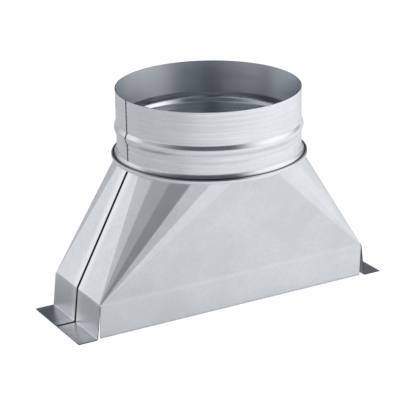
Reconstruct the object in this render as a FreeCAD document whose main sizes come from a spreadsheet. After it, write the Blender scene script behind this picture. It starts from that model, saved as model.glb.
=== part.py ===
"""Straight register boot in galvanised sheet: two folded half shells under a beaded round collar.

Millimetres, +Z up, the long side along X, the origin on the floor under the collar's axis.
"""

import FreeCAD
import Part
import Sketcher
import math
import os
import re
from FreeCAD import Placement, Rotation, Vector

document = FreeCAD.newDocument("register_boot")

# Driving sizes

SIZES = [
    ("sheet_thickness", 0.6, "galvanised sheet of all three pieces"),
    ("knee_length", 250.2, "over the end panels where the skirt begins"),
    ("knee_width", 83.5, "over the long panels where the skirt begins"),
    ("knee_height", 29.7, "floor to the fold where the skirt begins"),
    ("floor_length", 257.1, "over the end skirts at the mounting tabs"),
    ("floor_width", 78.6, "over the long skirts at the floor"),
    ("end_skirt_edge", 83.1, "lower width of an end skirt and of its tabs"),
    ("long_skirt_edge", 249.4, "lower length of a long skirt"),
    ("corner_bend", 1.4, "inside bend at the four knee corners"),
    ("tab_reach", 16.3, "mounting tab, out from the end skirt"),
    ("tab_bend", 1.0, "bend on the tab's upper side"),
    ("tab_split", 1.0, "gap between the two tabs of one end"),
    ("seam_gap", 0.5, "gap between the two shells' joining flanges"),
    ("seam_bend", 1.3, "inside bend of a joining flange"),
    ("seam_flange", 8.0, "depth of a joining flange into the duct"),
    ("seam_notch", 5.0, "opening of the notch that lets a joining flange turn at the knee"),
    ("neck_radius", 75.9, "axis to the crease tops under the collar"),
    ("neck_height", 125.4, "floor to the top of the shells"),
    ("end_panel_angle", 12.5, "half of an end panel's share of the neck, degrees"),
    ("long_panel_angle", 14.0, "half of a long panel's share of the neck, degrees"),
    ("corner_facets", 5, "flat facets folded round each corner"),
    ("collar_radius", 76.2, "outside of the collar, for six inch pipe"),
    ("collar_length", 55.6, "top of the shells to the collar's open rim"),
    ("bead_drop", 32.0, "rim to the middle of the stop bead"),
    ("bead_height", 9.4, "stop bead from root to root"),
    ("bead_depth", 2.3, "stop bead, measured to its unrounded crest"),
    ("bead_crest_bend", 4.6, "outside bend at the bead's crest"),
    ("bead_root_bend", 2.6, "outside bend at the bead's two roots"),
    ("ring_reach", 4.7, "collar's wall out to the hem that grips the shells"),
    ("lip_reach", 3.6, "width of the lip folded under the shells"),
    ("hem_bend", 0.3, "inside bend of the hem's two folds"),
    ("hem_clearance", 0.6, "hem to the neck flange inside it"),
    ("flare_angle", 30.0, "fall of the collar's foot, degrees"),
    ("foot_bend", 3.5, "outside bend between the foot and the wall"),
]

sheet = document.addObject("Spreadsheet::Sheet", "sizes")
for row, (alias, amount, meaning) in enumerate(SIZES, start=1):
    sheet.set(f"A{row}", alias)
    sheet.set(f"B{row}", str(amount))
    sheet.set(f"C{row}", meaning)
    sheet.setAlias(f"B{row}", alias)
document.recompute()


def on_sheet(text):
    """An expression in plain size names, turned into one on the sheet's cells."""
    return re.sub(r"[a-z]+(_[a-z]+)+", r"sizes.\g<0>", str(text))


def value(text):
    """What such an expression comes to now."""
    return float(sheet.evalExpression(on_sheet(text)))


def bind(item, **expressions):
    """Ties an object's properties to the sheet."""
    for name, text in expressions.items():
        item.setExpression(name.replace("__", "."), on_sheet(text))


# Sizes that follow from others

CORNER = "(corner_bend + sheet_thickness)"
SEAM_FACE = "(seam_gap / 2)"
SEAM_START = "(seam_gap / 2 + seam_bend + sheet_thickness)"
NECK_END = "(neck_radius * cos(end_panel_angle))"
END_SLOPE = f"atan((knee_length / 2 - {NECK_END}) / (neck_height - knee_height))"
SKIRT_SPLAY = "atan((floor_length - knee_length) / 2 / (knee_height - sheet_thickness))"
INSIDE_THE_EDGES = "(knee_length / 2 - 2 * seam_flange)"
TAB_END = "(floor_length / 2 + tab_reach)"
RING_RADIUS = "(collar_radius + ring_reach)"
NECK_FLANGE_RADIUS = f"({RING_RADIUS} - sheet_thickness - hem_clearance)"
RIM_HEIGHT = "(neck_height + collar_length)"

UPRIGHT_XZ = Rotation(Vector(1, 0, 0), 90)
UPRIGHT_YZ = Rotation(Vector(1, 1, 1), 120)
HALF_TURN = Rotation(Vector(0, 0, 1), 180)


# Sheet-metal helpers

def line_sketch(name, corners, closed):
    """Straight lines through the corners, every coordinate an expression on the sheet."""
    sketch = document.addObject("Sketcher::SketchObject", name)
    places = [Vector(value(x), value(y), 0) for x, y in corners]
    ends = places[1:] + places[:1] if closed else places[1:]
    for start, end in zip(places, ends):
        sketch.addGeometry(Part.LineSegment(start, end))
    lines = len(ends)
    for line in range(1, lines):
        sketch.addConstraint(Sketcher.Constraint("Coincident", line - 1, 2, line, 1))
    if closed:
        sketch.addConstraint(Sketcher.Constraint("Coincident", lines - 1, 2, 0, 1))
    for number, corner in enumerate(corners):
        line, end = (number, 1) if number < lines else (number - 1, 2)
        for kind, text in zip(("DistanceX", "DistanceY"), corner):
            fixed = Sketcher.Constraint(kind, -1, 1, line, end, value(text))
            index = sketch.addConstraint(fixed)
            sketch.setExpression(f"Constraints[{index}]", on_sheet(text))
    return sketch


def bent_sheet(name, corners, bends, turn, thickness="sheet_thickness"):
    """A strip of sheet on one side of a path whose bends are tangent arcs; its sign picks the side."""
    path = line_sketch(name + "_path", corners, closed=False)
    for corner, radius in bends.items():
        before = path.GeometryCount
        path.fillet(corner - 1, 2, value(radius), True, True, False)
        added = range(before, path.GeometryCount)
        arc = next(n for n in added if isinstance(path.Geometry[n], Part.ArcOfCircle))
        index = path.addConstraint(Sketcher.Constraint("Radius", arc, value(radius)))
        path.setExpression(f"Constraints[{index}]", on_sheet(radius))
    path.Placement = Placement(Vector(), turn)
    strip = document.addObject("Part::Offset2D", name + "_section")
    strip.Source = path
    strip.Fill = True
    strip.Mode = "Skin"
    strip.Join = "Intersection"
    bind(strip, Value=thickness)
    return strip


def extruded(name, section, direction, ahead):
    """A section pushed ahead along a direction."""
    solid = document.addObject("Part::Extrusion", name)
    solid.Base = section
    solid.DirMode = "Custom"
    solid.Dir = direction
    solid.Solid = True
    bind(solid, LengthFwd=ahead)
    return solid


def box(name, x, y, z):
    """A block between two values along each axis."""
    block = document.addObject("Part::Box", name)
    for side, axis, (low, high) in zip(("Length", "Width", "Height"), "xyz", (x, y, z)):
        bind(block, **{side: f"({high}) - ({low})", f"Placement__Base__{axis}": low})
    return block


def common(name, base, tool):
    """What two solids share."""
    shared = document.addObject("Part::Common", name)
    shared.Base = base
    shared.Tool = tool
    return shared


def cut(name, base, tool):
    """The base without the tool."""
    rest = document.addObject("Part::Cut", name)
    rest.Base = base
    rest.Tool = tool
    return rest


def joined(name, *pieces):
    """Solids of one sheet, made one."""
    whole = document.addObject("Part::MultiFuse", name)
    whole.Shapes = pieces
    whole.Refine = True
    return whole


# Folded panels of one half shell

def directions():
    """Which way each facet of a quarter faces: the end panel, the corner, the long panel."""
    facets = round(value("corner_facets"))
    start = value("end_panel_angle")
    step = (90 - start - value("long_panel_angle")) / facets
    around = [start + step * (number + 0.5) for number in range(facets)]
    return [math.radians(angle) for angle in [0, *around, 90]]


def neck_reaches():
    """Axis to each facet's top edge, which is a chord of the neck circle."""
    facets = round(value("corner_facets"))
    step = (90 - value("end_panel_angle") - value("long_panel_angle")) / facets
    halves = [value("end_panel_angle"), *[step / 2] * facets, value("long_panel_angle")]
    return [value("neck_radius") * math.cos(math.radians(half)) for half in halves]


def knee_reaches():
    """Axis to each facet's foot: the knee rectangle, with a small bend at its corner."""
    bend = value(CORNER)
    corner = (value("knee_length") / 2 - bend, value("knee_width") / 2 - bend)
    facing = [(math.cos(angle), math.sin(angle)) for angle in directions()]
    return [corner[0] * x + corner[1] * y + bend for x, y in facing]


def sheet_reaches():
    """The same reaches for the sheet's inner side, at the neck and at the knee."""
    rise = value("neck_height - knee_height")
    neck_inside = []
    knee_inside = []
    for neck, knee in zip(neck_reaches(), knee_reaches()):
        across = value("sheet_thickness") * math.hypot(1, (knee - neck) / rise)
        neck_inside.append(neck - across)
        knee_inside.append(knee - across)
    knee_inside[-1] = value("knee_width") / 2 - long_skirt_across()
    return neck_inside, knee_inside


def long_skirt_across():
    """Level thickness of a long skirt, which leans in towards the floor."""
    lean = value("(knee_width - floor_width) / 2 / knee_height")
    return value("sheet_thickness") * math.hypot(1, lean)


def half_outline(reaches, setback, height):
    """Level outline of one half, from the right end's seam round the front to the left end's."""
    facing = directions()
    corners = []
    for (a, b), (near, far) in zip(zip(facing, facing[1:]), zip(reaches, reaches[1:])):
        turn = math.sin(b - a)
        x = (near * math.sin(b) - far * math.sin(a)) / turn
        y = (far * math.cos(a) - near * math.cos(b)) / turn
        corners.append((x, -y))
    right = [(reaches[0], -setback), *corners]
    left = [(-x, y) for x, y in reversed(right)]
    return [Vector(x, y, height) for x, y in right + left]


def flat_sided(lower, upper):
    """A solid between two level outlines whose matching edges are parallel."""
    faces = [Part.Face(Part.makePolygon(ring + ring[:1])) for ring in (lower, upper)]
    for number in range(len(lower)):
        after = (number + 1) % len(lower)
        side = [lower[number], lower[after], upper[after], upper[number], lower[number]]
        faces.append(Part.Face(Part.makePolygon(side)))
    return Part.Solid(Part.makeShell(faces))


def folded_panels(name):
    """The flat facets between the knee and the neck, with the long skirt below them."""
    knee = value("knee_height")
    neck = value("neck_height")
    setback = value(SEAM_START)
    neck_inside, knee_inside = sheet_reaches()
    outside = flat_sided(
        half_outline(knee_reaches(), setback, knee),
        half_outline(neck_reaches(), setback, neck),
    )
    inside = flat_sided(
        half_outline(knee_inside, setback, knee),
        half_outline(neck_inside, setback, neck),
    )
    skirt_top = value(f"knee_length / 2 - {CORNER}")
    skirt_foot = value("long_skirt_edge / 2")
    skirt = flat_sided(
        skirt_outline(skirt_foot, value("floor_width / 2"), 0),
        skirt_outline(skirt_top, value("knee_width / 2"), knee),
    )
    panels = document.addObject("Part::Feature", name)
    panels.Shape = outside.cut(inside).fuse(skirt).removeSplitter()
    return panels


def skirt_outline(half_length, reach, height):
    """Level outline of the long skirt at one height."""
    front = -reach
    back = long_skirt_across() - reach
    corners = [(half_length, front), (half_length, back), (-half_length, back), (-half_length, front)]
    return [Vector(x, y, height) for x, y in corners]


# End skirt, mounting tab and joining flange

def end_skirt(name):
    """The right end's skirt and tab: one strip, trimmed to the width that the slits leave."""
    above = "(knee_height + corner_bend)"
    profile = [
        (TAB_END, "sheet_thickness"),
        ("floor_length / 2", "sheet_thickness"),
        ("knee_length / 2", "knee_height"),
        (f"knee_length / 2 - corner_bend * tan({END_SLOPE})", above),
    ]
    section = bent_sheet(name, profile, {1: "tab_bend"}, UPRIGHT_XZ)
    strip = extruded(name + "_strip", section, Vector(0, -1, 0), "end_skirt_edge / 2")
    front = [
        (f"-{SEAM_START}", "0"),
        (f"-{SEAM_START}", "knee_height"),
        (f"{CORNER} - knee_width / 2", "knee_height"),
        ("-end_skirt_edge / 2", "sheet_thickness"),
        ("-end_skirt_edge / 2", "0"),
    ]
    outline = line_sketch(name + "_outline", front, closed=True)
    outline.Placement = Placement(Vector(), UPRIGHT_YZ)
    room = extruded(name + "_room", outline, Vector(1, 0, 0), f"{TAB_END} + tab_bend")
    return common(name, strip, room)


def tab_root(name):
    """The tab's strip beside the split, under the joining flange's bend."""
    return box(
        name,
        ("floor_length / 2 - seam_bend", TAB_END),
        (f"-{SEAM_START}", "-tab_split / 2"),
        ("0", "sheet_thickness"),
    )


def on_mitre(x):
    """Height, at a distance from the axis, of the plane that halves the end's fold at the knee."""
    return f"(knee_height + ({x} - knee_length / 2) * tan(({END_SLOPE} + {SKIRT_SPLAY}) / 2))"


def seam_edge(name, slope, outline):
    """The sheet turned into the duct beside the seam, kept within an outline seen from the front."""
    profile = [
        ("0", f"-{SEAM_START} - sheet_thickness"),
        ("0", f"-{SEAM_FACE}"),
        ("-seam_flange", f"-{SEAM_FACE}"),
    ]
    bend = {1: "seam_bend + sheet_thickness"}
    section = bent_sheet(name, profile, bend, Rotation(), "-sheet_thickness")
    path = section.Source
    path.setExpression("Placement.Rotation.Axis.y", "1")
    path.setExpression("Placement.Rotation.Axis.z", "0")
    path.setExpression("Placement.Rotation.Angle", on_sheet(f"-({slope})"))
    bind(path, Placement__Base__x="knee_length / 2", Placement__Base__z="knee_height")
    along = document.addObject("Part::Extrusion", name + "_run")
    along.Base = section
    along.DirMode = "Custom"
    bind(
        along,
        Dir__x=f"-sin({slope})",
        Dir__z=f"cos({slope})",
        LengthFwd="neck_height",
        LengthRev="neck_height",
    )
    along.Solid = True
    room = line_sketch(name + "_outline", outline, closed=True)
    room.Placement = Placement(Vector(), UPRIGHT_XZ)
    return common(name, along, extruded(name + "_room", room, Vector(0, -1, 0), SEAM_START))


def knee_notch(name):
    """Notch that splits the joining flange where the end folds at the knee."""
    root = "(knee_length / 2 - seam_bend - 2 * sheet_thickness)"
    mouth = on_mitre(INSIDE_THE_EDGES)
    corners = [
        (root, on_mitre(root)),
        (INSIDE_THE_EDGES, f"{mouth} + seam_notch"),
        (INSIDE_THE_EDGES, f"{mouth} - seam_notch"),
    ]
    wedge = line_sketch(name + "_outline", corners, closed=True)
    wedge.Placement = Placement(Vector(), UPRIGHT_XZ)
    return extruded(name, wedge, Vector(0, -1, 0), SEAM_START)


def right_end(name):
    """Skirt, tab and rolled seam edge of the right end."""
    mitre = [(INSIDE_THE_EDGES, on_mitre(INSIDE_THE_EDGES)), (TAB_END, on_mitre(TAB_END))]
    above = [*mitre, (TAB_END, "neck_height"), ("0", "neck_height"), ("0", on_mitre(INSIDE_THE_EDGES))]
    below = [*mitre, (TAB_END, "0"), (INSIDE_THE_EDGES, "0")]
    upper = seam_edge(name + "_upper_edge", END_SLOPE, above)
    lower = seam_edge(name + "_lower_edge", SKIRT_SPLAY, below)
    edges = joined(name + "_edges", upper, lower)
    notched = cut(name + "_notched", edges, knee_notch(name + "_notch"))
    return joined(name, end_skirt(name + "_skirt"), tab_root(name + "_tab_root"), notched)


# Flange at the neck, held by the collar's hem

def neck_flange(name):
    """Half ring turned outward from the top of the panels."""
    disc = document.addObject("Part::Cylinder", name + "_disc")
    bind(disc, Radius=NECK_FLANGE_RADIUS, Height="sheet_thickness")
    bind(disc, Placement__Base__z="neck_height - sheet_thickness")
    front = box(
        name + "_front",
        (f"-{RING_RADIUS}", RING_RADIUS),
        (f"-{RING_RADIUS}", f"-{SEAM_FACE}"),
        ("knee_height", "neck_height"),
    )
    half = common(name + "_half", disc, front)
    within = [reach - value("sheet_thickness") / 2 for reach in neck_reaches()]
    bore = document.addObject("Part::Feature", name + "_bore")
    base = half_outline(within, 0, value("knee_height"))
    bore.Shape = Part.Face(Part.makePolygon(base + base[:1])).extrude(
        Vector(0, 0, value("neck_height"))
    )
    return cut(name, half, bore)


# Half shells and collar

def half_shell(label, turn):
    """One folded half: panels, long skirt, two ends and the neck flange."""
    end = right_end(label + "_right_end")
    other = document.addObject("Part::Mirroring", label + "_left_end")
    other.Source = end
    other.Normal = Vector(1, 0, 0)
    panels = folded_panels(label + "_panels")
    shell = joined(label, panels, end, other, neck_flange(label + "_neck_flange"))
    shell.Label = label
    shell.Placement = Placement(Vector(), turn)
    return shell


def collar(label):
    """Round collar: lip, hem, sloping foot, wall and stop bead in one turned section."""
    lip_level = "neck_height - 2 * sheet_thickness - hem_clearance"
    fall = "tan(flare_angle)"
    hem_top = (
        "neck_height + hem_clearance + sheet_thickness / cos(flare_angle)"
        f" - (sheet_thickness + hem_clearance) * {fall}"
    )
    bead_middle = f"{RIM_HEIGHT} - bead_drop"
    profile = [
        (f"{RING_RADIUS} - lip_reach", lip_level),
        (RING_RADIUS, lip_level),
        (RING_RADIUS, hem_top),
        ("collar_radius", f"{hem_top} + ring_reach * {fall}"),
        ("collar_radius", f"{bead_middle} - bead_height / 2"),
        ("collar_radius + bead_depth", bead_middle),
        ("collar_radius", f"{bead_middle} + bead_height / 2"),
        ("collar_radius", RIM_HEIGHT),
    ]
    bends = {
        1: "hem_bend + sheet_thickness",
        2: "hem_bend + sheet_thickness",
        3: "foot_bend",
        4: "bead_root_bend",
        5: "bead_crest_bend",
        6: "bead_root_bend",
    }
    section = bent_sheet(label, profile, bends, UPRIGHT_XZ)
    turned = document.addObject("Part::Revolution", label)
    turned.Source = section
    turned.Axis = Vector(0, 0, 1)
    turned.Angle = 360
    turned.Solid = True
    turned.Label = label
    return turned


front_shell = half_shell("front_shell", Rotation())
rear_shell = half_shell("rear_shell", HALF_TURN)
collar_ring = collar("collar")
document.recompute()

# Checks and export

for item in document.Objects:
    if "Invalid" in item.State or "Error" in item.State:
        raise RuntimeError(f"{item.Label} did not build: {item.State}")

os.makedirs("parts", exist_ok=True)
for piece in (front_shell, rear_shell, collar_ring):
    shape = piece.Shape
    if shape.isNull() or not shape.isValid() or len(shape.Solids) != 1:
        raise RuntimeError(f"{piece.Label} is not one valid solid")
    shape.exportStep(f"parts/{piece.Label}.step")
    print(piece.Label, "volume", round(shape.Volume, 1), "faces", len(shape.Faces))
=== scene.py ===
# %% [markdown]
# # A register boot in galvanised sheet
#
# A register boot is the sheet-metal fitting at the end of an air duct. Its
# flat rectangular end drops over an opening in the floor, and its round collar
# takes the duct. This one is three pieces of zinc-coated steel: two folded
# half shells and a rolled collar whose hem grips them both.
#
# The measured solids come in as a fixed frame. Everything below is placed in
# that frame, in the same millimetres, so nothing has to be fitted by eye.

# %% The fixed frame
import bmesh
import bpy
import math
from mathutils import Matrix, Vector


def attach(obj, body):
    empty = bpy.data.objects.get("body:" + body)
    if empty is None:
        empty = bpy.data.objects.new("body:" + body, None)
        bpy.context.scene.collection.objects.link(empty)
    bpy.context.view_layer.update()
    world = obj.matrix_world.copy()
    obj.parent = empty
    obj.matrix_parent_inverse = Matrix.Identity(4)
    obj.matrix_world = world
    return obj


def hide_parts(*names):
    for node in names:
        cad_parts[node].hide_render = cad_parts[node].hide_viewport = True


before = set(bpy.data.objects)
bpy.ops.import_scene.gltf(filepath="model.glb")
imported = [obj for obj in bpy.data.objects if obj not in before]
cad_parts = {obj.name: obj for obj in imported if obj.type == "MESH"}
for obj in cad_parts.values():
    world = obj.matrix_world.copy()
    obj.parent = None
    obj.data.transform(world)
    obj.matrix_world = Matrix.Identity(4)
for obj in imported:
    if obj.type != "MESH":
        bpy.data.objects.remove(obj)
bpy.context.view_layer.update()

print("solids:", sorted(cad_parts))

# %% [markdown]
# ## The camera
#
# A camera can be set by eye, or solved from edges whose place is known. The
# rim, the hem, the knee and the floor line of this boot are all level, so
# their outlines in the picture fix the camera: it stands 29 degrees to the
# left of square on, 20 degrees up, with a long lens. The slight roll is the
# picture's own.

# %% Camera
LENS_MM = 151.80
SENSOR_MM = 36
AZIMUTH = math.radians(-29.038)
ELEVATION = math.radians(20.112)
ROLL = math.radians(-1.103)
CAMERA_PLACE = Vector((-0.64922, -1.15218, 0.56587))

back = Vector((
    math.sin(AZIMUTH) * math.cos(ELEVATION),
    -math.cos(AZIMUTH) * math.cos(ELEVATION),
    math.sin(ELEVATION),
))
right = Vector((math.cos(AZIMUTH), math.sin(AZIMUTH), 0))
up = back.cross(right)
rolled_right = right * math.cos(ROLL) + up * math.sin(ROLL)
rolled_up = up * math.cos(ROLL) - right * math.sin(ROLL)
axes = Matrix((rolled_right, rolled_up, back)).transposed()

camera = bpy.data.objects.new("camera", bpy.data.cameras.new("camera"))
camera.data.lens = LENS_MM
camera.data.sensor_width = SENSOR_MM
camera.matrix_world = Matrix.Translation(CAMERA_PLACE) @ axes.to_4x4()
bpy.context.collection.objects.link(camera)
bpy.context.scene.camera = camera
print("camera stands", round(CAMERA_PLACE.length, 3), "m from the origin")

# %% [markdown]
# ## From a mesh in millimetres to a finished piece
#
# A `bmesh` is Blender's mesh in the making: it starts from a few points, and
# operators such as extrude, bevel and spin shape it. The first helper below
# turns a finished one into an object. The second is for sheet, which is drawn
# as its outer skin: a Solidify modifier gives it its gauge on the inner side,
# so inside and outside stay one even sheet apart. The rim of that sheet is its
# cut edge, with a finish of its own. Weighted normals keep the flats flat
# where they meet a rounded fold.

# %% Piece helpers
MM = 0.001
GAUGE = 0.6
# Lengths in millimetres that differ by less are the same.
SLACK = 0.001


def near(value, target):
    """Whether two lengths in millimetres are the same."""
    return abs(value - target) < SLACK


def wire(bm, places):
    """A run of edges through the places, in millimetres."""
    run = [bmesh.ops.create_vert(bm, co=place)["vert"][0] for place in places]
    for start, end in zip(run, run[1:]):
        bm.edges.new((start, end))
    return run


def drawn_out(bm, edges):
    """Extrudes edges in place and gives back the new vertices."""
    grown = bmesh.ops.extrude_edge_only(bm, edges=edges)["geom"]
    return [item for item in grown if isinstance(item, bmesh.types.BMVert)]


def finished(name, bm, materials, node):
    """Makes an object of a mesh in millimetres, in place of a node of the frame."""
    bmesh.ops.scale(bm, vec=(MM, MM, MM), verts=bm.verts)
    mesh = bpy.data.meshes.new(name)
    bm.to_mesh(mesh)
    bm.free()
    mesh.shade_smooth()
    for material in materials:
        mesh.materials.append(material)
    piece = bpy.data.objects.new(name, mesh)
    bpy.context.collection.objects.link(piece)
    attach(piece, "root")
    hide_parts(node)
    print(name, len(mesh.vertices), "vertices,", len(mesh.polygons), "faces")
    return piece


def sheet_piece(name, bm, materials, node):
    """A piece of sheet: the mesh is its skin, and it gets the gauge inside that."""
    piece = finished(name, bm, materials, node)
    wall = piece.modifiers.new("gauge", "SOLIDIFY")
    wall.thickness = GAUGE * MM
    wall.offset = -1
    wall.use_even_offset = True
    wall.use_quality_normals = True
    wall.material_offset = 2 if len(materials) > 2 else 0
    wall.material_offset_rim = 1
    flats = piece.modifiers.new("flats stay flat", "WEIGHTED_NORMAL")
    flats.keep_sharp = True


# %% [markdown]
# ## Materials
#
# Hot-dip galvanised sheet is steel under a thin skin of zinc. Fresh zinc is a
# light, slightly blue grey, and it is satin, not mirror bright: the rollers at
# the mill press a fine grain into it, so a lamp shows in it as a broad soft
# patch. Three things keep it from looking like flat grey paint, and the node
# trees below build them from noise in object coordinates:
#
# - the colour drifts a few percent lighter and darker over some centimetres;
# - the roughness follows the grain, which runs in long fine streaks;
# - thin sheet is never quite flat, so reflections bend in slow waves.

# %% Node helpers
def linear(hex_colour):
    """An sRGB hex colour as linear RGBA."""
    parts = [int(hex_colour[n:n + 2], 16) / 255 for n in (1, 3, 5)]
    return [c / 12.92 if c <= 0.04045 else ((c + 0.055) / 1.055) ** 2.4 for c in parts] + [1]


def add_node(tree, kind, inputs=None, **settings):
    """Adds a node; an input is a value, or another node's output to link."""
    node = tree.nodes.new(kind)
    for name, setting in settings.items():
        setattr(node, name, setting)
    for socket, given in (inputs or {}).items():
        if isinstance(given, bpy.types.NodeSocket):
            tree.links.new(given, node.inputs[socket])
        else:
            node.inputs[socket].default_value = given
    return node


def marked(tree, colour, *marks):
    """Lays marks over a colour: each has its own, and shares that multiply to how far it covers."""
    for hex_colour, covered, *shares in marks:
        for share in shares:
            product = add_node(tree, "ShaderNodeMath", {0: covered, 1: share}, operation="MULTIPLY")
            covered = product.outputs[0]
        inputs = {"Factor": covered, 6: colour, 7: linear(hex_colour)}
        colour = add_node(tree, "ShaderNodeMix", inputs, data_type="RGBA").outputs[2]
    return colour


# %% [markdown]
# ### Zinc
#
# The shells and the collar are the same coated steel, so one function makes
# each finish from its own figures. Stretching the grain along a direction turns
# it into the lines that rolls leave. On the folded sheet the grain is drawn
# 3 mm wide with finer marks in it, where the real one is a few tenths, because
# those would be lost between the pixels.

# %% Zinc
DARK_ZINC = "#D1D5D9"
LIGHT_ZINC = "#EFF0F2"
CLOUDS_PER_METRE = 22
WAVE_DEPTH = 0.3
GRAIN_DEPTH = 0.002
# A range that eases in and out, so that nothing drawn with it has a hard edge.
SMOOTH = {"interpolation_type": "SMOOTHSTEP"}


def zinc(name, grain_per_metre, waves_per_metre, smoothest, roughest):
    """A zinc-coated sheet; gives the material, its tree, place, colour and roughness."""
    material = bpy.data.materials.new(name)
    material.use_nodes = True
    tree = material.node_tree
    place = add_node(tree, "ShaderNodeTexCoord").outputs["Object"]
    clouds = add_node(tree, "ShaderNodeTexNoise", {
        "Vector": place, "Scale": CLOUDS_PER_METRE, "Detail": 4, "Roughness": 0.6,
    })
    stretched = add_node(tree, "ShaderNodeMapping", {"Vector": place, "Scale": grain_per_metre})
    grain = add_node(tree, "ShaderNodeTexNoise", {
        "Vector": stretched.outputs[0], "Scale": 1, "Detail": 2, "Roughness": 0.6,
    })
    drawn = add_node(tree, "ShaderNodeMapping", {"Vector": place, "Scale": waves_per_metre})
    waves = add_node(tree, "ShaderNodeTexNoise", {
        "Vector": drawn.outputs[0], "Scale": 1, "Detail": 1,
    })
    streaks = add_node(tree, "ShaderNodeMapRange", {
        "Value": grain.outputs[0], "From Min": 0.35, "From Max": 0.75, "To Max": 0.3,
    }, **SMOOTH)
    colour = marked(
        tree, linear(DARK_ZINC), (LIGHT_ZINC, clouds.outputs[0]), (DARK_ZINC, streaks.outputs[0]),
    )
    roughness = add_node(tree, "ShaderNodeMapRange", {
        "Value": grain.outputs[0], "From Min": 0.3, "From Max": 0.7,
        "To Min": smoothest, "To Max": roughest,
    }, **SMOOTH)
    wavy = add_node(tree, "ShaderNodeBump", {
        "Height": waves.outputs[0], "Strength": 1, "Distance": WAVE_DEPTH * MM,
    })
    grained = add_node(tree, "ShaderNodeBump", {
        "Height": grain.outputs[0], "Strength": 1, "Distance": GRAIN_DEPTH * MM,
        "Normal": wavy.outputs[0],
    })
    shader = tree.nodes["Principled BSDF"]
    shader.inputs["Metallic"].default_value = 1
    tree.links.new(grained.outputs[0], shader.inputs["Normal"])
    return material, tree, place, colour, roughness.outputs[0]


def use(tree, colour, roughness):
    """Links the colour and roughness to the tree's shader."""
    shader = tree.nodes["Principled BSDF"]
    tree.links.new(colour, shader.inputs["Base Color"])
    tree.links.new(roughness, shader.inputs["Roughness"])


# %% [markdown]
# ### Folded zinc of the shells
#
# Sheet that rolls or folds catches the light, so on the real boot the two strips
# beside the rolled seam edge shine, and the knee fold shows as a faint light
# line. Here both are a painted highlight: the zinc is lightened along them. The
# gap of the seam lies in shade and reads as one dark line, which is painted shade,
# a near-black band. These marks could be painted on a picture, but each is a band
# at a known distance from a plane, the middle plane of the boot or the level of
# the knee, so the drawing's own figures place it.

# %% Shell zinc
# Painted highlight: a lighter zinc for the strips beside the seam and along the knee fold.
PAINTED_HIGHLIGHT_ZINC = "#F8F8F9"
# Painted shade: the seam gap is darkened almost to black.
SEAM_GAP_SHADE = "#121315"
KNEE_HIGHLIGHT_LEVEL = 29.5
ACROSS = (0, 1, 0)
UPWARD = (0, 0, 1)


def band(tree, place, normal, level, edges, shares):
    """A share that changes from the first to the second between two distances from a plane."""
    along = add_node(tree, "ShaderNodeVectorMath", {0: place, 1: normal}, operation="DOT_PRODUCT")
    past = add_node(
        tree, "ShaderNodeMath", {0: along.outputs["Value"], 1: level * MM}, operation="SUBTRACT",
    )
    distance = add_node(tree, "ShaderNodeMath", {0: past.outputs[0]}, operation="ABSOLUTE")
    return add_node(tree, "ShaderNodeMapRange", {
        "Value": distance.outputs[0], "From Min": edges[0] * MM, "From Max": edges[1] * MM,
        "To Min": shares[0], "To Max": shares[1],
    }, **SMOOTH).outputs[0]


# Satin zinc as it leaves the mill: each flat takes one even tone from the panel it mirrors.
shell_zinc, tree, place, colour, roughness = zinc(
    "hot_dip_galvanised_steel_folded", grain_per_metre=(330, 330, 330),
    waves_per_metre=(11, 11, 11), smoothest=0.29, roughest=0.34,
)
colour = marked(
    tree, colour,
    # painted highlight on the strips beside the seam
    (PAINTED_HIGHLIGHT_ZINC, band(tree, place, ACROSS, 0, (3, 12), (0.9, 0))),
    # painted highlight along the knee fold
    (PAINTED_HIGHLIGHT_ZINC, band(tree, place, UPWARD, KNEE_HIGHLIGHT_LEVEL, (0.5, 3), (0.16, 0))),
    # painted shade in the seam gap
    (SEAM_GAP_SHADE, band(tree, place, ACROSS, 0, (1.1, 1.9), (0.97, 0))),
)
use(tree, colour, roughness)
print("shell finish:", shell_zinc.name, len(tree.nodes), "nodes")

# %% [markdown]
# ### Rolled zinc of the collar
#
# The collar is a strip bent into a ring between rolls, which draw fine lines
# along it. Such lines smear a reflection across themselves, so on the collar
# each lamp becomes a tall upright streak. In the shader that is the anisotropic
# amount, and the tangent says which way the lines run: round the Z axis.
#
# The inside gets a finish of its own. Its colour is painted lighter and a little
# bluer, as painted light for what falls in at the mouth. That light runs along
# the wall in several short bounces, which a wide smear lets out again towards the eye.
# The stop bead is smoother than the wall on both sides, because a roller
# presses it out and polishes it, so light and dark lines in it are crisp.

# %% Brushed finish and the inside of the collar
INSIDE_PAINTED_LIGHT = "#EAF0F7"
BEAD_LEVEL = 149.0


def brushed_round(tree, amount):
    """Spreads reflections up and down, across the lines that the rolls leave round the collar."""
    shader = tree.nodes["Principled BSDF"]
    shader.inputs["Anisotropic"].default_value = amount
    shader.inputs["Anisotropic Rotation"].default_value = 0.25
    around = add_node(tree, "ShaderNodeTangent", direction_type="RADIAL", axis="Z")
    tree.links.new(around.outputs[0], shader.inputs["Tangent"])


def burnished_bead(tree, place, roughness, share):
    """The roughness, cut to a share on the stop bead, which its roller polishes."""
    kept = band(tree, place, UPWARD, BEAD_LEVEL, (4, 6), (share, 1))
    cut = add_node(tree, "ShaderNodeMath", {0: roughness, 1: kept}, operation="MULTIPLY")
    return cut.outputs[0]


# Zinc painted lighter and bluer inside the collar, as painted light: bright where the light reaches
# it by glancing, dark across the middle.
inside_zinc, tree, place, colour, roughness = zinc(
    "hot_dip_galvanised_steel_inside", grain_per_metre=(14, 14, 300),
    waves_per_metre=(30, 30, 3), smoothest=0.34, roughest=0.42,
)
# Painted light: the inside's colour is mixed towards a lighter, bluer zinc.
colour = marked(tree, colour, (INSIDE_PAINTED_LIGHT, 0.7))
use(tree, colour, burnished_bead(tree, place, roughness, 0.42))
brushed_round(tree, 1.0)
print("inside finish:", inside_zinc.name, len(tree.nodes), "nodes")
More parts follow.
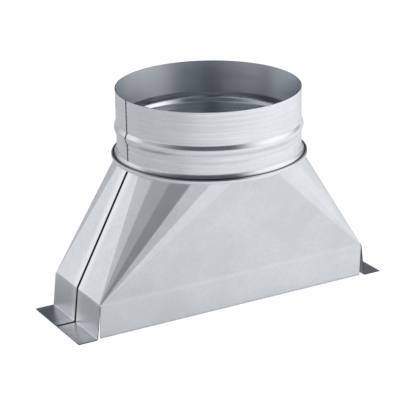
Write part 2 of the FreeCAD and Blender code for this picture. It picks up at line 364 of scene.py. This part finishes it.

# %% [markdown]
# ### Marks on the outside of the collar
#
# The strip's ends are joined by a row of small welds. Their heat burns the zinc
# off beside them and leaves a brown-grey line, which fades out over a
# millimetre. Lower down, the crease between the foot and the hem lies in shade,
# and a dark ring is painted in it as painted shade. The first mark lies near
# three planes at once: an upright one through the seam, one that touches the
# wall there, and the rim's level, from which it reaches down to the foot. The
# second is a distance from a radius, at the level of the hem.

# %% Outside of the collar
BURNT_ZINC = "#4A4541"
# Painted shade for the crease between the foot and the hem.
CREASE_SHADE_COLOUR = "#2E3033"
SEAM_ANGLE = math.radians(181.2)
WALL = 76.2
RIM_LEVEL = 181.0
HEM_LEVEL = 127.2
CREASE_RADIUS = 78.9

# Rolled zinc: upright streaks of light and dark, with fine level lines in them.
collar_zinc, tree, place, colour, roughness = zinc(
    "hot_dip_galvanised_steel_rolled", grain_per_metre=(14, 14, 500),
    waves_per_metre=(36, 36, 4), smoothest=0.23, roughest=0.31,
)
brushed_round(tree, 0.8)
seam_across = (-math.sin(SEAM_ANGLE), math.cos(SEAM_ANGLE), 0)
seam_outward = (math.cos(SEAM_ANGLE), math.sin(SEAM_ANGLE), 0)
# Painted shade: a dark ring at the crease's radius, kept to the level of the hem.
flat = add_node(tree, "ShaderNodeVectorMath", {0: place, 1: (1, 1, 0)}, operation="MULTIPLY")
reach = add_node(tree, "ShaderNodeVectorMath", {0: flat.outputs[0]}, operation="LENGTH")
past_crease = add_node(tree, "ShaderNodeMath", {
    0: reach.outputs["Value"], 1: CREASE_RADIUS * MM,
}, operation="SUBTRACT")
from_crease = add_node(tree, "ShaderNodeMath", {0: past_crease.outputs[0]}, operation="ABSOLUTE")
painted_crease_shade = add_node(tree, "ShaderNodeMapRange", {
    "Value": from_crease.outputs[0], "From Min": 0.4 * MM, "From Max": 0.9 * MM,
    "To Min": 0.9, "To Max": 0,
}, **SMOOTH)
colour = marked(
    tree, colour,
    (
        BURNT_ZINC,
        band(tree, place, seam_across, 0, (0.5, 1.4), (0.95, 0)),
        band(tree, place, seam_outward, WALL, (6.2, 16.2), (1, 0)),
        band(tree, place, UPWARD, RIM_LEVEL, (50, 52), (1, 0)),
    ),
    # painted shade in the crease under the hem
    (CREASE_SHADE_COLOUR, painted_crease_shade.outputs[0], band(tree, place, UPWARD, HEM_LEVEL, (1.2, 1.6), (1, 0))),
)
use(tree, colour, burnished_bead(tree, place, roughness, 0.85))
print("outside finish:", collar_zinc.name, len(tree.nodes), "nodes")

# %% [markdown]
# ### Bare metal
#
# Two more surfaces are small but give scale: the sheared edge of the sheet,
# which is bare steel and reads as a thin dark line, and the weld nuggets. A
# plain grey would do from afar. Here one noise drives colour, roughness and
# pits together, because on bare metal a pit is also darker and duller.

# %% Cut edge and weld metal
PIT_DEPTH = 0.02
ROUGHNESS_SWING = 0.08


def dull_metal(name, dark, light, speckle, roughness):
    """A bare metal whose colour varies in specks of the given size in millimetres."""
    material = bpy.data.materials.new(name)
    material.use_nodes = True
    tree = material.node_tree
    place = add_node(tree, "ShaderNodeTexCoord").outputs["Object"]
    specks = add_node(tree, "ShaderNodeTexNoise", {
        "Vector": place, "Scale": 1 / (speckle * MM), "Detail": 3,
    })
    pits = add_node(tree, "ShaderNodeBump", {
        "Height": specks.outputs[0], "Strength": 1, "Distance": PIT_DEPTH * MM,
    })
    uneven = add_node(tree, "ShaderNodeMapRange", {
        "Value": specks.outputs[0], "From Min": 0.3, "From Max": 0.7,
        "To Min": roughness - ROUGHNESS_SWING, "To Max": roughness + ROUGHNESS_SWING,
    }, **SMOOTH)
    shader = tree.nodes["Principled BSDF"]
    shader.inputs["Metallic"].default_value = 1
    tree.links.new(pits.outputs[0], shader.inputs["Normal"])
    use(tree, marked(tree, linear(dark), (light, specks.outputs[0])), uneven.outputs[0])
    return material


# Sheared through the coating: bare steel with smeared zinc, duller than the faces.
cut_steel = dull_metal("sheared_steel_edge", "#35383C", "#62656A", speckle=2, roughness=0.42)
# Melted and cooled in air: oxide dulls it and turns it brown-grey.
weld_metal = dull_metal("oxidised_weld_nuggets", "#5A524B", "#8A8178", speckle=1, roughness=0.55)
print("materials:", [m.name for m in (shell_zinc, collar_zinc, cut_steel, weld_metal)])

# %% [markdown]
# ## A half shell
#
# Each half is one sheet, cut flat and folded. A rectangle can't be joined to a
# circle by one flat panel, so the maker folds a fan of narrow facets round
# each corner: they start together at the knee's corner and spread out along
# the neck. The mesh is made the same way. One wire follows the neck and turns
# a little at each crease, another follows the knee and turns the whole corner
# at once, and bridging the two gives the panels, the facets and the rounded
# creases between them.

# %% Outlines at the knee and the neck
KNEE = Vector((125.1, 41.75, 29.7))
CORNER_ROUND = 2.0
NECK_RADIUS = 75.9
NECK_LEVEL = 124.8
SEAM_EDGE = -2.15
END_HALF_ANGLE = 12.5
LONG_HALF_ANGLE = 14.0
FACETS = 5
CREASE_ROUND = 1.2
CREASE_STEPS = 3

shell = bmesh.new()
facet_turn = (90 - END_HALF_ANGLE - LONG_HALF_ANGLE) / FACETS
crease_angles = [math.radians(END_HALF_ANGLE + facet_turn * n) for n in range(FACETS + 1)]
creases = [
    (NECK_RADIUS * math.cos(angle), -NECK_RADIUS * math.sin(angle), NECK_LEVEL)
    for angle in crease_angles
]
neck = wire(shell, [
    (creases[0][0], SEAM_EDGE, NECK_LEVEL),
    *creases,
    (0, creases[-1][1], NECK_LEVEL),
])
bmesh.ops.bevel(
    shell, geom=neck[1:-1], affect="VERTICES", offset=CREASE_ROUND,
    segments=CREASE_STEPS, profile=0.5, material=-1,
)
knee = wire(shell, [
    (KNEE.x, SEAM_EDGE, KNEE.z),
    (KNEE.x, -KNEE.y, KNEE.z),
    (0, -KNEE.y, KNEE.z),
])
corner_steps = len(crease_angles) * (CREASE_STEPS + 1) - 1
bmesh.ops.bevel(
    shell, geom=[knee[1]], affect="VERTICES", offset=CORNER_ROUND,
    segments=corner_steps, profile=0.5, material=-1,
)
bmesh.ops.bridge_loops(shell, edges=shell.edges[:])
print("panels:", len(shell.faces), "faces of", len(shell.verts), "vertices")

# %% [markdown]
# ### Skirts
#
# Below the knee the sheet goes straight down into the floor opening. The end
# skirt leans out a few degrees and the long skirt leans in, and between them
# the corner stays open, because the sheet was notched there so that it could be
# folded. The knee's straight edges are extruded apart and moved to the floor,
# which leaves the corner open by itself. A bevel then rounds the knee, as the
# folding tool does.

# %% Skirts
FLOOR_LENGTH = 257.1
FLOOR_WIDTH = 78.6
END_SKIRT_EDGE = 83.1
LONG_SKIRT_EDGE = 249.4
TAB_BEND = 1.0
TAB_LEVEL = 0.6
KNEE_FOLD = 0.7
KNEE_STEPS = 4
# Points of the knee's corner that come closer than this are one.
TOO_CLOSE = 0.03

splay = math.atan((FLOOR_LENGTH / 2 - KNEE.x) / (KNEE.z - TAB_LEVEL))
bend_run = TAB_BEND / math.tan(math.radians(90) / 2 + splay / 2)
bend_start = TAB_LEVEL + bend_run * math.cos(splay)
end_foot_x = FLOOR_LENGTH / 2 - bend_run * math.sin(splay)

at_knee = [e for e in shell.edges if all(near(v.co.z, KNEE.z) for v in e.verts)]
end_fold = [e for e in at_knee if all(near(v.co.x, KNEE.x) for v in e.verts)]
long_fold = [e for e in at_knee if all(near(v.co.y, -KNEE.y) for v in e.verts)]
share = (KNEE.z - bend_start) / (KNEE.z - TAB_LEVEL)
for vertex in drawn_out(shell, end_fold):
    vertex.co.x = end_foot_x
    vertex.co.z = bend_start
    if not near(vertex.co.y, SEAM_EDGE):
        vertex.co.y += (-END_SKIRT_EDGE / 2 - vertex.co.y) * share
for vertex in drawn_out(shell, long_fold):
    vertex.co.z = 0
    vertex.co.y = -FLOOR_WIDTH / 2
    if vertex.co.x > 1:
        vertex.co.x = LONG_SKIRT_EDGE / 2
bmesh.ops.bevel(
    shell, geom=end_fold + long_fold, affect="EDGES", offset=KNEE_FOLD,
    offset_type="OFFSET", segments=KNEE_STEPS, profile=0.5, material=-1,
)
bmesh.ops.remove_doubles(shell, verts=shell.verts, dist=TOO_CLOSE)
print("with skirts:", len(shell.faces), "faces of", len(shell.verts), "vertices")

# %% [markdown]
# ### Corner slits
#
# Where three folds meet at a corner of the knee, the sheet would crumple, so
# the blank is notched there. Just below the fold the two skirts almost touch,
# and the slit between them opens towards the floor, because one leans out and
# the other in. Bisecting the skirts near the corner gives the points for it:
# one level where the notch ends, and one a little lower where the slit begins.

# %% Corner slits
NOTCH_END = 28.9
SLIT_START = 28.5
# Each skirt: the way it faces, the way to its corner, where the cuts start, and how far it reaches.
SKIRTS = (
    (Vector((1, 0, 0)), Vector((0, -1, 0)), 36.0, 41.6),
    (Vector((0, -1, 0)), Vector((1, 0, 0)), 119.0, 124.6),
)


def cut_across(faces, place, normal):
    """Cuts the faces by a plane, and gives the new vertices."""
    edges = {edge for face in faces for edge in face.edges}
    corners = {vertex for face in faces for vertex in face.verts}
    made = bmesh.ops.bisect_plane(
        shell, geom=faces + list(edges) + list(corners), dist=0.0001,
        plane_co=place, plane_no=normal,
    )["geom_cut"]
    return [item for item in made if isinstance(item, bmesh.types.BMVert)]


def skirt_past(outward, along, start):
    """The faces of the skirt that faces outward, further along it than the start."""
    return [
        face for face in shell.faces
        if max(vertex.co.z for vertex in face.verts) < KNEE.z - KNEE_FOLD / 2
        and abs(face.normal.dot(outward)) > 0.9
        and face.calc_center_median().dot(along) > start
    ]


for outward, along, start, reach in SKIRTS:
    cut_across(skirt_past(outward, along, 0), along * start, along)
    cut_across(skirt_past(outward, along, start), (0, 0, NOTCH_END), UPWARD)
    level_cut = cut_across(skirt_past(outward, along, start), (0, 0, SLIT_START), UPWARD)
    edge_point = max(level_cut, key=lambda vertex: vertex.co.dot(along))
    edge_point.co += along * (reach - edge_point.co.dot(along))
print("with the corner slits:", len(shell.faces), "faces")

# %% [markdown]
# ### Seam edge
#
# The two half shells meet at the middle of each end. There the sheet rolls
# into the duct and runs on as a flat joining flange. The roll shows in the
# picture as two bright lines with a dark gap between them, so it is built as a
# true quarter round: the seam edge is extruded in small steps, and each new
# row of points moves along the arc. The flange can't turn the corner at the
# knee, so its upper and lower parts are extruded apart, which leaves a notch.

# %% Rolled seam edge
ROLL_RADIUS = 1.9
ROLL_STEPS = 8
FLANGE_DEPTH = 8.0
NOTCH_HALF = 1.8
end_slope = math.atan((KNEE.x - creases[0][0]) / (NECK_LEVEL - KNEE.z))


def inward(place, depth):
    """How a point of the end's skin moves to lie that deep inside the duct."""
    if near(place.z, NECK_LEVEL):
        return Vector((-depth / math.cos(end_slope), 0, 0))
    turn = (place.z - (KNEE.z - KNEE_FOLD)) / (2 * KNEE_FOLD)
    slope = splay + (end_slope - splay) * min(1, max(0, turn))
    return Vector((-depth * math.cos(slope), 0, -depth * math.sin(slope)))


def by_height(vertices):
    """The vertices from the lowest to the highest."""
    return sorted(vertices, key=lambda vertex: vertex.co.z)


def between(vertices):
    """The edges that join some of these vertices."""
    return [e for e in shell.edges if all(v in vertices for v in e.verts)]


row = by_height(v for v in shell.verts if near(v.co.y, SEAM_EDGE))
skin = [v.co.copy() for v in row]
foot = [row[0]]
for step in range(1, ROLL_STEPS + 1):
    angle = math.radians(90) * step / ROLL_STEPS
    row = by_height(drawn_out(shell, between(row)))
    foot.append(row[0])
    for vertex, place in zip(row, skin):
        vertex.co = place + inward(place, ROLL_RADIUS * (1 - math.cos(angle)))
        vertex.co.y += ROLL_RADIUS * math.sin(angle)

# Below the knee the flange is one strip and above it another; the fold itself has none.
place_of = dict(zip(row, skin))
for side in (-1, 1):
    straight = by_height(v for v in row if side * (place_of[v].z - KNEE.z) > 0.8 * KNEE_FOLD)
    for vertex, origin in zip(by_height(drawn_out(shell, between(straight))), straight):
        place = place_of[origin]
        vertex.co = place + inward(place, FLANGE_DEPTH)
        vertex.co.y = SEAM_EDGE + ROLL_RADIUS
        if abs(place.z - KNEE.z) < 2 * KNEE_FOLD:
            vertex.co.z += side * NOTCH_HALF

# The sheet leans, so its inner skin ends this much lower than the outer one, on the floor.
foot_level = GAUGE * math.sin(splay)
for vertex in drawn_out(shell, between(foot)):
    vertex.co.x += (vertex.co.z - foot_level) * math.tan(splay)
    vertex.co.z = foot_level
print("with the seam edge:", len(shell.faces), "faces")

# %% [markdown]
# ### Tab and neck flange
#
# The end skirt turns outward at the floor into a mounting tab that is nailed
# down through plain sheet. Spin sweeps the skirt's bottom edge round the
# bend, and an extrusion draws the tab out. At the neck the panels turn
# outward too, into the flange that the collar's hem holds.

# %% Tab and neck flange
TAB_END = 144.85
TAB_BEND_STEPS = 5
SPLIT_HALF = 0.5
TAB_ROOT = 126.15
FLANGE_RADIUS = 79.7

bend_middle_x = end_foot_x + TAB_BEND * math.cos(splay)
skirt_foot = [v for v in shell.verts if near(v.co.z, bend_start) and v.co.y < SEAM_EDGE + SLACK]
bent = bmesh.ops.spin(
    shell, geom=skirt_foot + between(skirt_foot), cent=(bend_middle_x, 0, TAB_LEVEL + TAB_BEND),
    axis=(0, 1, 0), dvec=(0, 0, 0), angle=splay - math.radians(90), steps=TAB_BEND_STEPS,
    use_merge=False, use_duplicate=False,
)["geom_last"]
tab_start = [item for item in bent if isinstance(item, bmesh.types.BMVert)]
tab_tip = drawn_out(shell, between(tab_start))
for vertex in tab_tip:
    vertex.co.x = TAB_END
tab_side = [v for v in tab_start + tab_tip if near(v.co.y, SEAM_EDGE)]
tab_root = drawn_out(shell, between(tab_side))
for vertex in tab_root:
    vertex.co.y = -SPLIT_HALF
tab_heel = min(tab_root, key=lambda v: v.co.x)
for vertex in drawn_out(shell, between([tab_heel, min(tab_side, key=lambda v: v.co.x)])):
    vertex.co.x = TAB_ROOT

neck_edge = [v for v in shell.verts if near(v.co.z, NECK_LEVEL) and v.co.y < SEAM_EDGE + SLACK]
for vertex in drawn_out(shell, between(neck_edge)):
    at_seam = near(vertex.co.y, SEAM_EDGE)
    if vertex.co.x > SLACK:
        vertex.co.xy = vertex.co.xy.normalized() * FLANGE_RADIUS
    else:
        vertex.co.y = -FLANGE_RADIUS
    if at_seam:
        vertex.co.y = SEAM_EDGE + ROLL_RADIUS
print("right half:", len(shell.faces), "faces")

# %% [markdown]
# ### Whole shell, twice
#
# A mirror across the middle makes the left end from the right one. It turns
# the new faces inside out, so all normals are found again before the sheet gets
# its gauge. The rear shell could be mirrored as well, but real ones are cut
# from one pattern, so it is the same sheet turned half round.

# %% Mirror and copy
everything = shell.verts[:] + shell.edges[:] + shell.faces[:]
bmesh.ops.mirror(shell, geom=everything, axis="X", merge_dist=SLACK)
bmesh.ops.remove_doubles(shell, verts=shell.verts, dist=SLACK)
bmesh.ops.recalc_face_normals(shell, faces=shell.faces)
front = min(shell.faces, key=lambda f: f.calc_center_median().y)
if front.normal.y > 0:
    bmesh.ops.reverse_faces(shell, faces=shell.faces)
rear = shell.copy()
half_turn = Matrix.Rotation(math.radians(180), 3, "Z")
bmesh.ops.rotate(rear, verts=rear.verts, cent=(0, 0, 0), matrix=half_turn)
shell_finishes = [shell_zinc, cut_steel]
sheet_piece("front_shell_sheet", shell, shell_finishes, "front_shell")
sheet_piece("rear_shell_sheet", rear, shell_finishes, "rear_shell")

# %% [markdown]
# ## The collar
#
# The collar's section is one line: a lip under the shells' flange, a hem that
# closes over it, a sloping foot, a straight wall with a shallow mark from the
# rolls, and the stop bead that a duct pushed over the collar comes to rest
# on. Stacked rings could give that shape too, but one line with a gauge to it
# stays a single bent sheet, as the real one. Each corner of the line is bent to
# a radius. A bevel on a vertex wants the distance to where the bend starts,
# which is the radius times the tangent of half the turn.

# %% Collar section
BEND_STEPS = 6
# The wall's own line starts a little above the foot's corner, and the welds sit on it.
WALL_START = 130.0
# Radius, height and bend of each corner.
COLLAR_LINE = [
    (77.3, 123.6, 0),
    (80.9, 123.6, 0.9),
    (80.9, 126.5, 0.6),
    (79.4, 127.0, 0.2),
    (CREASE_RADIUS, 126.5, 0.1),
    (78.4, 127.45, 0.2),
    (WALL, 128.71, 4.0),
    (WALL, 138.7, 1.5),
    (WALL - 0.2, 139.8, 1.2),
    (WALL, 140.9, 1.5),
    (WALL, 144.3, 2.6),
    (78.5, BEAD_LEVEL, 4.6),
    (WALL, 153.7, 2.6),
    (WALL, RIM_LEVEL, 0),
]

collar = bmesh.new()
line = wire(collar, [(radius, 0, height) for radius, height, _ in COLLAR_LINE])
places = [vertex.co.copy() for vertex in line]
for n in range(1, len(line) - 1):
    turn = (places[n] - places[n - 1]).angle(places[n + 1] - places[n])
    bend = COLLAR_LINE[n][2]
    bmesh.ops.bevel(
        collar, geom=[line[n]], affect="VERTICES", offset=bend * math.tan(turn / 2),
        segments=BEND_STEPS, profile=0.5, material=-1,
    )
wall_line = by_height(v for v in collar.verts if v.co.z > WALL_START)
wall_places = [(v.co.z, v.co.x) for v in wall_line]
print("collar section:", len(collar.verts), "points")

# %% [markdown]
# ### Collar ring
#
# Spin carries the line once round the axis, as the rolls bend the strip. A full
# turn could merge its two ends, but the real wall is open at its seam, so the
# spin stops just short of closing and leaves a hairline gap there. The hem and
# the foot are bridged shut, as the rolls press them. At the rim the strip's
# corners are a little lower, which leaves a small notch over the gap.

# %% Collar ring
SEAM_GAP = 0.15
RING_STEPS = 192
FOOT_TOP = 131.0
RIM_NOTCH = 0.8

gap_angle = SEAM_GAP / WALL
bmesh.ops.rotate(
    collar, verts=collar.verts, cent=(0, 0, 0),
    matrix=Matrix.Rotation(SEAM_ANGLE + gap_angle / 2, 3, "Z"),
)
first = collar.verts[:] + collar.edges[:]
last = bmesh.ops.spin(
    collar, geom=first, cent=(0, 0, 0), axis=UPWARD, dvec=(0, 0, 0),
    angle=2 * math.pi - gap_angle, steps=RING_STEPS, use_merge=False, use_duplicate=False,
)["geom_last"]
ends = [item for item in first + last if isinstance(item, bmesh.types.BMEdge)]
foot_ends = [e for e in ends if max(v.co.z for v in e.verts) < FOOT_TOP]
bmesh.ops.bridge_loops(collar, edges=foot_ends)
for edge in ends:
    top = max(edge.verts, key=lambda v: v.co.z)
    if near(top.co.z, RIM_LEVEL):
        top.co.z -= RIM_NOTCH
bmesh.ops.recalc_face_normals(collar, faces=collar.faces)
wall = max(collar.faces, key=lambda f: f.calc_center_median().z)
if wall.normal.dot(wall.calc_center_median()) < 0:
    bmesh.ops.reverse_faces(collar, faces=collar.faces)
collar_finishes = [collar_zinc, cut_steel, inside_zinc]
sheet_piece("collar_sheet", collar, collar_finishes, "collar")

# %% [markdown]
# ### Welds
#
# A wheel electrode runs up the collar's seam and leaves a nugget every few
# millimetres. Each one is a small flattened ball, half sunk in the wall at the
# height where it sits, so the row follows the bead. A bump in the material
# would be less work, but real nuggets also catch the light at their edges.

# %% Weld nuggets
WELD_START = 132.5
WELD_PITCH = 3.5
WELD_COUNT = 14
WELD_SINK = 0.1
WELD_SIZE = Vector((0.35, 0.9, 1.2))


def wall_radius(height):
    """The collar's outside radius at a height on its wall."""
    for (low, inner), (high, outer) in zip(wall_places, wall_places[1:]):
        if low <= height <= high:
            return inner + (outer - inner) * (height - low) / (high - low)
    return WALL


welds = bmesh.new()
turned = Matrix.Rotation(SEAM_ANGLE, 4, "Z")
for n in range(WELD_COUNT):
    height = WELD_START + WELD_PITCH * n
    seat = Matrix.Translation((wall_radius(height) - WELD_SINK, 0, height))
    shape = Matrix.Diagonal(WELD_SIZE).to_4x4()
    bmesh.ops.create_icosphere(welds, subdivisions=2, radius=1, matrix=turned @ seat @ shape)
finished("collar_weld_nuggets", welds, [weld_metal], "collar")

# %% [markdown]
# ## The studio
#
# The boot stands on white paper that reaches far past the picture. A plain
# square does for it, because nothing of its edge is ever seen. It lies a hair
# lower than the tabs, so that no two surfaces share one level.

# %% Floor
PAPER_HALF = 8
PAPER_DROP = 0.2

scene = bpy.context.scene
scene.view_settings.view_transform = "Standard"
floor_mesh = bmesh.new()
bmesh.ops.create_grid(floor_mesh, x_segments=1, y_segments=1, size=PAPER_HALF)
bmesh.ops.translate(floor_mesh, verts=floor_mesh.verts, vec=(0, 0, -PAPER_DROP * MM))
floor_data = bpy.data.meshes.new("floor")
floor_mesh.to_mesh(floor_data)
floor_mesh.free()
floor = bpy.data.objects.new("floor", floor_data)
bpy.context.collection.objects.link(floor)
print("paper:", 2 * PAPER_HALF, "m wide")

# %% [markdown]
# ### White paper
#
# Paper lit only by lamps would turn grey in places and show a shadow, and the
# picture has neither. So it also glows. For the camera it glows evenly, which
# reads as white. The flats mirror it, so for reflections it glows more on the
# lit side and less under the boot and in its shadow.

# %% White paper
CAMERA_GLOW = 0.8
TO_THE_LIGHT = (0.6, -0.8, 0)


def shaded(tree, place, middle, half, margin, share):
    """The share of light left in an upright box; it is all there past the margin, in metres."""
    moved = add_node(
        tree, "ShaderNodeVectorMath", {0: place, 1: middle}, operation="SUBTRACT",
    )
    folded = add_node(tree, "ShaderNodeVectorMath", {0: moved.outputs[0]}, operation="ABSOLUTE")
    past = add_node(
        tree, "ShaderNodeVectorMath", {0: folded.outputs[0], 1: half}, operation="SUBTRACT",
    )
    kept = add_node(
        tree, "ShaderNodeVectorMath", {0: past.outputs[0], 1: (0, 0, 0)}, operation="MAXIMUM",
    )
    distance = add_node(tree, "ShaderNodeVectorMath", {0: kept.outputs[0]}, operation="LENGTH")
    return add_node(tree, "ShaderNodeMapRange", {
        "Value": distance.outputs["Value"], "From Max": margin, "To Min": share,
    }, **SMOOTH).outputs[0]


# Matt white paper: no gloss, one flat white behind the boot.
paper = bpy.data.materials.new("white_paper_sweep")
paper.use_nodes = True
tree = paper.node_tree
tree.nodes.clear()
rays = add_node(tree, "ShaderNodeLightPath")
place = add_node(tree, "ShaderNodeTexCoord").outputs["Object"]
sideways = add_node(
    tree, "ShaderNodeVectorMath", {0: place, 1: TO_THE_LIGHT}, operation="DOT_PRODUCT",
)
lit_side = add_node(tree, "ShaderNodeMapRange", {
    "Value": sideways.outputs["Value"], "From Min": -0.25, "From Max": 0.45,
    "To Min": 0.27, "To Max": 0.79,
})
mirrored = add_node(tree, "ShaderNodeMath", {
    0: rays.outputs["Is Glossy Ray"], 1: rays.outputs["Is Transmission Ray"],
}, operation="MAXIMUM")
under_boot = shaded(tree, place, (0, 0, 0), (0.1285, 0.0395, 1), 0.002, 0.25)
in_shadow = shaded(tree, place, (-0.055, 0.045, 0), (0.12, 0.04, 1), 0.06, 0.4)
glow = lit_side.outputs[0]
for share in (under_boot, in_shadow, mirrored.outputs[0]):
    glow = add_node(tree, "ShaderNodeMath", {0: glow, 1: share}, operation="MULTIPLY").outputs[0]
glow = add_node(tree, "ShaderNodeMath", {
    0: rays.outputs["Is Camera Ray"], 1: CAMERA_GLOW, 2: glow,
}, operation="MULTIPLY_ADD")
lit = add_node(tree, "ShaderNodeBsdfDiffuse", {"Color": linear("#E8E8E8")})
shine = add_node(tree, "ShaderNodeEmission", {
    "Color": linear("#FFFFFF"), "Strength": glow.outputs[0],
})
both = add_node(tree, "ShaderNodeAddShader", {0: lit.outputs[0], 1: shine.outputs[0]})
add_node(tree, "ShaderNodeOutputMaterial", {"Surface": both.outputs[0]})
floor_data.materials.append(paper)
print("paper nodes:", len(tree.nodes))

# %% [markdown]
# ### Light
#
# Metal shows what stands round it. Area lamps could light the boot, but in a
# mirror they have hard edges, so the studio is drawn in the world itself, as
# soft panels whose place and size can be read off the flats, each of which
# mirrors one direction. The long front panel and the right of the collar look
# at a big panel high on the right. The left end looks at two lower, weaker ones
# behind it, which fade out towards the viewer, so each facet round the left
# corner is a step darker than the one before. The mounting tabs mirror the side
# behind the boot on the right. They are dark in the picture, so that side is.

# %% Light panels
# Azimuth, elevation, half width and half height in degrees, then softness and brightness.
PANELS = (
    (-20, 33, 44, 28, 0.35, 1.17),
    (120, 20, 27, 27, 0.3, 0.52),
    (154, 17, 36, 25, 0.6, 0.42),
)

world = bpy.data.worlds.new("studio")
scene.world = world
world.use_nodes = True
tree = world.node_tree
tree.nodes.clear()
way = add_node(tree, "ShaderNodeTexCoord").outputs["Generated"]


def soft_panel(azimuth, elevation, half_width, half_height, softness, brightness):
    """A far oval panel with soft edges; its azimuth is counted from +X."""
    turn, rise = math.radians(azimuth), math.radians(elevation)
    level = Vector((math.cos(turn), math.sin(turn), 0))
    sideways = Vector((-math.sin(turn), math.cos(turn), 0))
    facing = level * math.cos(rise) + Vector(UPWARD) * math.sin(rise)
    across = sideways / math.sin(math.radians(half_width))
    upward = facing.cross(sideways) / math.sin(math.radians(half_height))
    x, y, ahead = (
        add_node(
            tree, "ShaderNodeVectorMath", {0: way, 1: axis}, operation="DOT_PRODUCT",
        ).outputs["Value"]
        for axis in (across, upward, facing)
    )
    xy = add_node(tree, "ShaderNodeCombineXYZ", {0: x, 1: y})
    out = add_node(tree, "ShaderNodeVectorMath", {0: xy.outputs[0]}, operation="LENGTH")
    light = add_node(tree, "ShaderNodeMapRange", {
        "Value": out.outputs["Value"], "From Min": 1 - softness, "From Max": 1 + softness,
        "To Min": brightness, "To Max": 0,
    }, **SMOOTH)
    front = add_node(tree, "ShaderNodeMapRange", {"Value": ahead, "From Max": 0.1}, **SMOOTH)
    return add_node(
        tree, "ShaderNodeMath", {0: light.outputs[0], 1: front.outputs[0]}, operation="MULTIPLY",
    ).outputs[0]


lights = [soft_panel(*panel) for panel in PANELS]
print("light panels:", len(lights))

# %% [markdown]
# ### Horizon and room
#
# Low down, the lit paper shows in the flats as a glow that is strongest towards
# the viewer and fades with height. The room behind the lamps is one dim, even,
# bluish light. All of it is added up, because light adds, so each part can be
# made brighter or darker without touching the others.

# %% Horizon and room
ROOM_COLOUR = (0.86, 1.0, 1.14, 1)
ROOM_STRENGTH = 0.105
TO_THE_VIEWER = (-0.3, -0.95, 0)

height = add_node(tree, "ShaderNodeSeparateXYZ", {0: way}).outputs["Z"]
low_down = add_node(tree, "ShaderNodeMapRange", {
    "Value": height, "From Min": 0.05, "From Max": 0.36, "To Min": 0.67, "To Max": 0,
}, **SMOOTH)
ahead = add_node(
    tree, "ShaderNodeVectorMath", {0: way, 1: TO_THE_VIEWER}, operation="DOT_PRODUCT",
)
in_front = add_node(tree, "ShaderNodeMapRange", {
    "Value": ahead.outputs["Value"], "From Min": -0.3, "From Max": 0.4, "To Min": 0.2,
}, **SMOOTH)
light = add_node(tree, "ShaderNodeMath", {
    0: low_down.outputs[0], 1: in_front.outputs[0],
}, operation="MULTIPLY").outputs[0]
for panel in lights:
    light = add_node(tree, "ShaderNodeMath", {0: light, 1: panel}, operation="ADD").outputs[0]
studio = add_node(tree, "ShaderNodeBackground", {"Color": linear("#FFFFFF"), "Strength": light})
room = add_node(tree, "ShaderNodeBackground", {"Color": ROOM_COLOUR, "Strength": ROOM_STRENGTH})
both = add_node(tree, "ShaderNodeAddShader", {0: studio.outputs[0], 1: room.outputs[0]})
add_node(tree, "ShaderNodeOutputWorld", {"Surface": both.outputs[0]})
print("world nodes:", len(tree.nodes))
